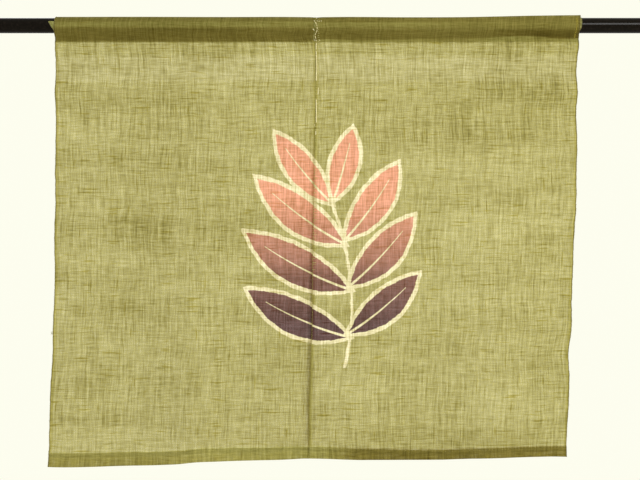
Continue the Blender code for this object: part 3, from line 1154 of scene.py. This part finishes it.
@dataclass(frozen=True)
class DyedCloth:
    """Moss green cloth with the leaf sprig, seen partly by the light that comes through it, with painted
    shade and painted light on it.
    """

    moss: tuple = (0.394, 0.351, 0.088, 1.0)
    painted_light_colour: tuple = (0.438, 0.394, 0.130, 1.0)
    slub: tuple = (0.84, 0.81, 0.67, 1.0)  # the tint of the thick places in the yarn
    depth: tuple = (1.0, 1.05, 1.55)  # how much faster than red the dark yarns lose green and blue
    shading: tuple = (-0.38, -0.09, -0.344)  # what full shade takes off red, and off the rest beside it
    undyed: tuple = (0.80, 0.72, 0.40, 1.0)
    salmon: tuple = (0.76, 0.35, 0.20, 1.0)
    russet: tuple = (0.26, 0.115, 0.075, 1.0)
    plum: tuple = (0.105, 0.045, 0.040, 1.0)
    selvedge: tuple = (0.17, 0.14, 0.045, 1.0)
    holes: float = 0.095
    through: float = 0.47  # share of the yarn's light that comes through from the other side
    clouds: float = 0.26  # strength of the wide clouds in the tone, and of the bands across
    bands: float = 0.22
    band_top: float = -0.056  # painted light: a band below the pocket is painted paler than the rest
    band_foot: float = -0.088
    fade_above: float = 0.010
    band_blend_below: float = 0.012
    painted_shade_below_pocket: float = -0.10  # painted shade: the strip between that band and the pocket is painted darker
    edge_reach: tuple = (0.0022, 0.0010)  # how far in a selvedge starts and ends to darken
    edge_dark: float = 0.75
    inner_edge: float = 0.35  # how dark the selvedges at the meeting are, against the outer ones
    closed_edge: tuple = (0.0018, 0.0060)  # a selvedge has no holes up to the first, all past the last
    dyed_open: float = 0.45  # share of the holes that is left in a dyed leaf, and in a slub
    slub_open: float = 0.1

    def material(self) -> bpy.types.Material:
        """Builds the material."""
        material, graph, output = new_material("dyed_cloth")
        place = graph.node("ShaderNodeUVMap", uv_map="cloth").outputs["UV"]
        weave = graph.node("ShaderNodeGroup", node_tree=Weave().group())
        sprig = graph.node("ShaderNodeGroup", node_tree=LeafSprig().group())
        for group in (weave, sprig):
            graph.give(group, Coordinates=place)
        dim = graph.node("ShaderNodeAttribute", attribute_name="dim").outputs["Fac"]
        tone = graph.add(
            weave.outputs["Tone"],
            graph.off_middle(graph.noise(place, 9, 13, detail=2.0, seed=31.0), self.clouds),
            graph.off_middle(graph.noise(place, 2.2, 34, detail=1.0, seed=37.0), self.bands),
        )
        x, z = graph.split(place)
        from_meeting = graph.math("ABSOLUTE", x)
        edge = graph.math("MINIMUM", from_meeting, graph.math("SUBTRACT", LOOM_WIDTH, from_meeting))
        # clouds of painted light and painted shade, partly also uneven weave
        for row in PATCHES:
            away_x = graph.math("DIVIDE", graph.math("SUBTRACT", x, row.x), row.width)
            away_z = graph.math("DIVIDE", graph.math("SUBTRACT", z, row.z), row.height)
            away = graph.hypotenuse(away_x, away_z)
            tone = graph.add(tone, graph.span(away, 1.0, 0.0, 0.0, row.tone, smooth=True))
        # painted shade on the strip just below the pocket
        painted_shade_foot = self.band_top + self.fade_above
        tone = graph.add(tone, graph.span(z, self.band_top, painted_shade_foot, 0.0, self.painted_shade_below_pocket))
        lines, leaves, fall = (sprig.outputs[name] for name in ("Lines", "Leaves", "Fall"))
        dye = graph.mix(graph.span(fall, 0.25, 0.62), self.salmon, self.russet)
        dye = graph.mix(graph.span(fall, 0.55, 0.85), dye, self.plum)
        # painted light: the band below the pocket is mixed towards a paler colour
        painted_light_share = graph.times(
            graph.span(z, painted_shade_foot, self.band_top, smooth=True),
            graph.span(z, self.band_foot - self.band_blend_below, self.band_foot, smooth=True),
        )
        colour = graph.mix(painted_light_share, self.moss, self.painted_light_colour)
        colour = graph.mix(lines, colour, self.undyed)
        colour = graph.mix(leaves, colour, dye)
        edge_share = graph.times(graph.span(edge, *self.edge_reach, 0.0, self.edge_dark),
                                 graph.span(from_meeting, 0.0, 0.1, self.inner_edge, 1.0))
        colour = graph.mix(edge_share, colour, self.selvedge)
        colour = graph.mix(weave.outputs["Slubs"], colour, self.slub, blend="MULTIPLY")
        colour = graph.vector("MULTIPLY", colour, graph.combine(
            *(graph.math("POWER", tone, power) for power in self.depth)))
        # the painted shade from the points darkens the colour, and painted light below 0 lightens it
        kept, *beside = (graph.math("MULTIPLY_ADD", dim, share, 1.0) for share in self.shading)
        colour = graph.tint(colour, kept)
        colour = graph.vector("MULTIPLY", colour, graph.combine(1.0, *beside))
        deeper = graph.node("ShaderNodeGamma", {"Color": colour, "Gamma": 1.15}).outputs[0]
        relief = graph.bump(weave.outputs["Relief"], 0.5, 0.0003)
        front = graph.node("ShaderNodeBsdfPrincipled", {"Base Color": colour, "Roughness": 0.88,
                                                        "Specular IOR Level": 0.15, "Normal": relief})
        behind = graph.node("ShaderNodeBsdfTranslucent", {"Color": deeper, "Normal": relief})
        sides = {0: self.through, 1: front.outputs[0], 2: behind.outputs[0]}
        yarn = graph.node("ShaderNodeMixShader", sides)
        openness = graph.times(
            graph.span(tone, 0.70, 1.35, 0.35 * self.holes, 1.75 * self.holes),
            graph.span(edge, *self.closed_edge),
            graph.span(leaves, 0.0, 1.0, 1.0, self.dyed_open),
            graph.span(weave.outputs["Slubs"], 0.0, 1.0, 1.0, self.slub_open),
        )
        open_share = graph.math("MULTIPLY", openness, weave.outputs["Holes"], clamp=True)
        clear = graph.node("ShaderNodeBsdfTransparent")
        cloth = graph.node("ShaderNodeMixShader", {0: open_share, 1: yarn.outputs[0], 2: clear.outputs[0]})
        graph.give(output, Surface=cloth.outputs[0])
        return material


@dataclass(frozen=True)
class BlackLacquer:
    """Black gloss lacquer with fine dust and long, faint polishing marks."""

    colour: tuple = (0.0048, 0.0034, 0.0018, 1.0)
    worn: tuple = (0.011, 0.008, 0.005, 1.0)
    roughness: tuple = (0.09, 0.12)
    marks: tuple = (6.0, 900.0, 900.0)  # polishing marks to a metre, along the rod and across it

    def material(self) -> bpy.types.Material:
        """Builds the material."""
        material, graph, output = new_material("black_lacquer")
        place = graph.node("ShaderNodeTexCoord").outputs["Object"]
        marks = graph.texture(graph.vector("MULTIPLY", place, self.marks), 1.0, 2.0)
        dust = graph.texture(place, 260.0, 3.0)
        gloss = graph.node("ShaderNodeBsdfPrincipled", {
            "Base Color": graph.mix(graph.span(dust, 0.45, 0.75), self.colour, self.worn),
            "Roughness": graph.span(marks, 0.3, 0.7, *self.roughness),
            "Specular IOR Level": 0.06,
            "Normal": graph.bump(marks, 0.04, 0.0002),
        })
        graph.give(output, Surface=gloss.outputs[0])
        return material


@dataclass(frozen=True)
class SpunThread:
    """Spun sewing thread of one colour, a little uneven along its length."""

    name: str
    colour: tuple
    pale: tuple

    def material(self) -> bpy.types.Material:
        """Builds the material."""
        material, graph, output = new_material(self.name)
        place = graph.node("ShaderNodeTexCoord").outputs["Object"]
        tone, fibre = graph.texture(place, 340.0, 3.0), graph.texture(place, 2600.0, 1.0)
        thread = graph.node("ShaderNodeBsdfPrincipled", {
            "Base Color": graph.mix(graph.span(tone, 0.35, 0.65), self.colour, self.pale),
            "Roughness": 0.8,
            "Normal": graph.bump(fibre, 0.4, 0.0002),
        })
        graph.give(output, Surface=thread.outputs[0])
        return material


THREADS = (
    SpunThread("cream_thread", (0.72, 0.64, 0.30, 1.0), (0.90, 0.84, 0.50, 1.0)),
    SpunThread("moss_thread", (0.30, 0.26, 0.07, 1.0), (0.52, 0.47, 0.17, 1.0)),
    SpunThread("selvedge_yarn", (0.20, 0.17, 0.05, 1.0), (0.38, 0.33, 0.10, 1.0)),
    SpunThread("pale_moss_thread", (0.37, 0.34, 0.08, 1.0), (0.62, 0.58, 0.22, 1.0)),
    SpunThread("meeting_yarn", (0.30, 0.28, 0.05, 1.0), (0.45, 0.42, 0.10, 1.0)),
    SpunThread("ochre_thread", (0.36, 0.28, 0.02, 1.0), (0.50, 0.41, 0.04, 1.0)),
)


@dataclass
class Rod:
    """The round rod, finer than its solid and in the same place."""

    sides: int = 72
    chamfer: float = 0.0010
    sharp: float = math.radians(12)  # edges past this angle shade sharply, and its sides smoothly

    def build(self, finish: bpy.types.Material) -> bpy.types.Object:
        """Makes the rod.

        Args:
            finish: The lacquer.

        Returns:
            The finished piece.
        """
        length = ROD_HIGH.x - ROD_LOW.x
        bm = bmesh.new()
        lying = Matrix.Rotation(math.pi / 2, 4, "Y")
        bmesh.ops.create_cone(bm, cap_ends=True, segments=self.sides, radius1=ROD_RADIUS, radius2=ROD_RADIUS,
                              depth=length, matrix=lying)
        rims = [edge for edge in bm.edges if len({len(face.verts) for face in edge.link_faces}) == 2]
        bmesh.ops.bevel(bm, geom=rims, offset=self.chamfer, segments=3, profile=0.5, affect="EDGES",
                        material=-1)
        piece = add_piece("lacquered_rod", bm, finish)
        piece.data.set_sharp_from_angle(angle=self.sharp)
        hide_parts("rod")
        return piece


@dataclass
class Needlework:
    """The hand sewing: what joins the panels, holds the pocket and the hems, and has come loose."""

    left: ClothPanel
    right: ClothPanel
    seed: int = 11
    step: float = 0.0003  # between two points of a thread
    dive: float = 0.0016  # how deep a stitch's ends go, and over what length
    dive_length: float = 0.0011
    cloth: float = 0.0003  # from the middle of the cloth to its face
    bow: Spread = Spread(-0.3, 0.5)  # sideways swing of a long stretch of the joining thread
    bow_from: float = 0.02
    strand: float = 0.26  # how far its two strands stand from its middle, as a share of its width
    strand_turn: float = 0.0030
    edge_top: float = 0.060  # depth of the first stitch over the right panel's edge
    edge_stitch: SmallStitch = SmallStitch(
        Spread(-0.6, -1.4), Spread(4.2, 6.8), Spread(-0.8, 1.6), Spread(0.2, 0.5)
    )
    edge_pitches: tuple = (2.9, 3.4, 4.6, 6.3, 9.5)  # millimetres down to the next one
    pocket_top: float = 0.0070  # height of the first of the stitches on the pocket beside the slit
    pocket_pitch: float = 0.0030
    pocket_count: int = 13
    pocket_stitch: SmallStitch = SmallStitch(
        Spread(3.0, 3.8), Spread(5.6, 7.4), Spread(0.9, 1.8), Spread(0.1, 0.3)
    )
    seam_ends: tuple = (0.004, 0.424)  # how far from the meeting the seams start and end
    seam_length: Spread = Spread(1.6, 2.6)
    seam_gap: Spread = Spread(2.6, 4.2)
    seam_waver: Spread = Spread(-0.3, 0.3)
    seam_lift: float = 0.0001
    above_seam: float = 0.0006
    below_hem: float = 0.0012
    end_place: float = 0.4338  # the stitches at the right end of the pocket
    end_top: float = 0.0090
    end_foot: float = -0.021
    end_waver: Spread = Spread(-0.5, 0.5)
    end_pitch: Spread = Spread(1.9, 2.7)
    end_right: float = 0.0018  # how far each runs to the right and down
    end_down: float = 0.0014
    end_lift: float = 0.0006
    worn_depth: float = 0.516  # the worn place of the left selvedge
    worn_spread: Spread = Spread(-3.0, 3.0)
    worn_length: float = 0.0045
    worn_count: int = 14
    fibre_depths: tuple = (0.05, 0.72)
    fibre_length: Spread = Spread(0.8, 2.6)
    fibre_count: int = 60
    fibre_inset: float = 0.0004
    fibre_bend: float = 0.25

    def front(self, x: np.ndarray, z: np.ndarray) -> np.ndarray:
        """Where the front of the cloth stands, on whichever panel is there.

        Args:
            x: Places along the rod.
            z: Their heights.

        Returns:
            The Y coordinate at each place.
        """
        on_right = x >= self.right.inner(-z)
        return np.where(on_right, self.right.front(x, z), self.left.front(x, z)) - self.cloth

    def lay(self, start: tuple, end: tuple, lift: float, bow: float = 0.0) -> np.ndarray:
        """Lays one stitch on the front, with both ends going down through the cloth.

        Args:
            start: X and Z of its first end.
            end: X and Z of its last end.
            lift: How far its middle line stands off the cloth.
            bow: How far it swings out to the right half way.

        Returns:
            Its points.
        """
        length = math.dist(start, end)
        share = np.linspace(0.0, 1.0, max(7, round(length / self.step)))
        x = start[0] + (end[0] - start[0]) * share + bow * np.sin(share * math.pi)
        z = start[1] + (end[1] - start[1]) * share
        to_end = np.minimum(share, 1 - share) * length
        sunk = self.dive * (1 - swell(to_end, 0.0, min(self.dive_length, length / 3)))
        return np.column_stack([x, self.front(x, z) - lift + sunk, z])

    def small(self, draw: random.Random, kind: SmallStitch, x: float, z: float) -> np.ndarray:
        """Lays one small stitch.

        Args:
            draw: Where its sizes are drawn from.
            kind: What they lie between.
            x: The line that its ends are measured from.
            z: Height of its first end.

        Returns:
            Its points.
        """
        start = x + kind.start.draw(draw), z
        end = x + kind.end.draw(draw), z - kind.fall.draw(draw)
        return self.lay(start, end, kind.lift.draw(draw))

    def joining_thread(self, finish: bpy.types.Material) -> bpy.types.Object:
        """Adds the pale two-strand thread that joins the panels in long and short stitches.

        Args:
            finish: The thread.

        Returns:
            The finished piece.
        """
        draw = random.Random(self.seed)
        across = (1.0, 0.0, 0.15)  # tilted, so that no stitch runs along it
        routes = []
        for row in FLOATS:
            bow = self.bow.draw(draw) if row.z - row.end_z > self.bow_from else 0.0
            middle = self.lay((row.x, row.z), (row.end_x, row.end_z), row.width / 2, bow)
            turn = draw.uniform(0.0, math.tau)
            for start in (turn, turn + math.pi):
                routes.append(wind(middle, across, row.width * self.strand, self.strand_turn, start))
        return add_thread("joining_thread", routes, 0.0009, finish)

    def join_stitches(self, finish: bpy.types.Material) -> bpy.types.Object:
        """Adds the small stitches that hold the right panel's edge down on the left one.

        Args:
            finish: The thread.

        Returns:
            The finished piece.
        """
        draw = random.Random(self.seed + 1)
        routes, depth = [], self.edge_top
        while depth < JOINED_DOWN_TO:
            edge = float(self.right.inner(np.array([depth]))[0])
            routes.append(self.small(draw, self.edge_stitch, edge, -depth))
            depth += draw.choice(self.edge_pitches) * MM
        for count in range(self.pocket_count):
            z = self.pocket_top - self.pocket_pitch * count
            routes.append(self.small(draw, self.pocket_stitch, 0.0, z))
        return add_thread("join_stitches", routes, 0.00055, finish)

    def seam_stitches(self, finish: bpy.types.Material) -> bpy.types.Object:
        """Adds the running stitches along the pocket and the hems.

        Args:
            finish: The thread.

        Returns:
            The finished piece.
        """
        draw = random.Random(self.seed + 2)
        routes = []
        for panel in (self.left, self.right):
            x, stop = sorted(panel.side.value * end for end in self.seam_ends)
            while x < stop:
                length = self.seam_length.draw(draw)
                seam = read(panel.sewing, "depth", x) - self.above_seam
                hem = read(panel.feet, "depth", x) - read(panel.feet, "hem", x) + self.below_hem
                for depth in (seam, hem):
                    z = -depth + self.seam_waver.draw(draw)
                    routes.append(self.lay((x, z), (x + length, z), self.seam_lift))
                x += length + self.seam_gap.draw(draw)
        return add_thread("seam_stitches", routes, 0.0004, finish, sides=4)

    def end_stitches(self, finish: bpy.types.Material) -> bpy.types.Object:
        """Adds the small stitches that hold the right end of the pocket to its turned-in edge.

        Args:
            finish: The thread.

        Returns:
            The finished piece.
        """
        draw = random.Random(self.seed + 4)
        routes, z = [], self.end_top
        while z > self.end_foot:
            x = self.end_place + self.end_waver.draw(draw)
            routes.append(self.lay((x, z), (x + self.end_right, z - self.end_down), self.end_lift))
            z -= self.end_pitch.draw(draw)
        return add_thread("end_stitches", routes, 0.0009, finish, sides=4)

    def loose_fibres(self, finish: bpy.types.Material) -> bpy.types.Object:
        """Adds the fine fibres that stand off the outer selvedges, thickest in one worn place.

        Args:
            finish: The yarn.

        Returns:
            The finished piece.
        """
        draw = random.Random(self.seed + 3)
        spots = []
        for _ in range(self.worn_count):
            spots.append((self.left, self.worn_depth + self.worn_spread.draw(draw), self.worn_length))
        for panel in (self.left, self.right):
            for _ in range(self.fibre_count):
                spots.append((panel, draw.uniform(*self.fibre_depths), self.fibre_length.draw(draw)))
        routes = []
        for panel, depth, length in spots:
            side = panel.side.value
            x = float(panel.outer(np.array([depth]))[0]) - side * self.fibre_inset
            y = float(panel.front(np.array([x]), np.array([-depth]))[0])
            slope, curl = draw.uniform(-0.7, 0.7), draw.uniform(-0.6, 0.6)
            share = np.linspace(0.0, 1.0, 7)
            routes.append(np.column_stack([
                x + side * length * share * (1 - self.fibre_bend * share),
                y + draw.uniform(-0.4, 0.4) * length * share**2,
                -depth + length * (slope * share + curl * share**2),
            ]))
        return add_thread("loose_fibres", routes, 0.00018, finish, sides=4)


class Lamp(NamedTuple):
    """A soft square light: where it stands, what it points at, its side's length and its watts."""

    name: str
    place: tuple
    target: tuple
    size: float
    power: float


@dataclass
class Studio:
    """Plain pale floor, soft lights and a camera square to the curtain."""

    floor_height: float = -1.35
    floor_radius: float = 1.55
    floor_dark: tuple = (0.80, 0.79, 0.75, 1.0)
    floor_pale: tuple = (0.86, 0.85, 0.81, 1.0)
    ground: tuple = (0.985, 0.985, 0.86, 1.0)  # what the camera sees behind the part
    daylight: tuple = (1.0, 0.99, 0.95, 1.0)  # and what lights it from all round
    brightness: float = 0.78
    lamps: tuple = (
        Lamp("key", (1.45, -2.2, 0.45), (0.0, 0.0, -0.25), 0.9, 44.0),
        Lamp("back", (-0.5, 2.0, 1.2), (0.0, 0.0, -0.35), 2.0, 26.0),
    )
    lens: float = 43.5
    camera_place: tuple = (0.0076, -1.3, -0.3604)

    def build(self) -> None:
        """Sets up the floor, the world, the lights and the camera."""
        self.floor()
        self.world()
        for lamp in self.lamps:
            self.light(lamp)
        data = bpy.data.cameras.new("camera")
        data.lens = self.lens
        camera = bpy.data.objects.new("camera", data)
        camera.location = self.camera_place
        camera.rotation_euler = (math.pi / 2, 0, 0)
        bpy.context.scene.collection.objects.link(camera)
        bpy.context.scene.camera = camera
        bpy.context.scene.view_settings.view_transform = "Standard"

    def floor(self) -> None:
        """Adds the floor disc."""
        bm = bmesh.new()
        bmesh.ops.create_circle(bm, cap_ends=True, segments=96, radius=self.floor_radius,
                                matrix=Matrix.Translation((0, 0, self.floor_height)))
        mesh = bpy.data.meshes.new("floor")
        bm.to_mesh(mesh)
        bm.free()
        material, graph, output = new_material("pale_floor")
        place = graph.node("ShaderNodeTexCoord").outputs["Object"]
        tone = graph.mix(graph.texture(place, 3.0, 4.0), self.floor_dark, self.floor_pale)
        shader = graph.node("ShaderNodeBsdfPrincipled", {"Base Color": tone, "Roughness": 0.9})
        graph.give(output, Surface=shader.outputs[0])
        mesh.materials.append(material)
        floor = bpy.data.objects.new("floor", mesh)
        bpy.context.scene.collection.objects.link(floor)

    def world(self) -> None:
        """Surrounds the part with even light, and with a pale ground for the camera."""
        world = bpy.data.worlds.new("pale_room")
        bpy.context.scene.world = world
        world.use_nodes = True
        world.node_tree.nodes.clear()
        graph = Graph(world.node_tree)
        seen = graph.node("ShaderNodeLightPath").outputs["Is Camera Ray"]
        ground = graph.node("ShaderNodeBackground", {"Color": self.ground, "Strength": 1.0})
        light = graph.node("ShaderNodeBackground", {"Color": self.daylight, "Strength": self.brightness})
        mixed = graph.node("ShaderNodeMixShader", {0: seen, 1: light.outputs[0], 2: ground.outputs[0]})
        graph.give(graph.node("ShaderNodeOutputWorld"), Surface=mixed.outputs[0])

    def light(self, lamp: Lamp) -> None:
        """Adds one light.

        Args:
            lamp: What it is.
        """
        data = bpy.data.lights.new(lamp.name, "AREA")
        data.size = lamp.size
        data.energy = lamp.power
        light = bpy.data.objects.new(lamp.name, data)
        light.location = lamp.place
        aim = Vector(lamp.target) - Vector(lamp.place)
        light.rotation_euler = aim.to_track_quat("-Z", "Y").to_euler()
        bpy.context.scene.collection.objects.link(light)


def report(piece: bpy.types.Object) -> None:
    """Logs a finished piece and how many faces or threads it has."""
    if piece.type == "CURVE":
        LOG.info("%s: %d threads", piece.name, len(piece.data.splines))
    else:
        LOG.info("%s: %d faces", piece.name, len(piece.data.polygons))


def main() -> None:
    """Builds the curtain's looks in order: studio, rod, cloth, sewing."""
    logging.basicConfig(level=logging.INFO, format="%(message)s")
    Studio().build()
    report(Rod().build(BlackLacquer().material()))
    cloth = DyedCloth().material()
    cream, moss, weft, pale, bright, ochre = (thread.material() for thread in THREADS)
    panels = (
        ClothPanel(Side.LEFT, LEFT_SEWING, LEFT_FEET, 0.0115, LEFT_TURNING, flat_length=0.882),
        ClothPanel(Side.RIGHT, RIGHT_SEWING, RIGHT_FEET, 0.0035, RIGHT_TURNING, flat_length=0.878),
    )
    for panel in panels:
        piece = panel.build(cloth)
        report(piece)
        report(panel.bind_edge("outer", weft))
        report(panel.bind_edge("inner", bright))
    sewing = Needlework(*panels)
    report(sewing.joining_thread(cream))
    report(sewing.join_stitches(pale))
    report(sewing.seam_stitches(moss))
    report(sewing.end_stitches(ochre))
    report(sewing.loose_fibres(weft))


if __name__ == "__main__":
    main()
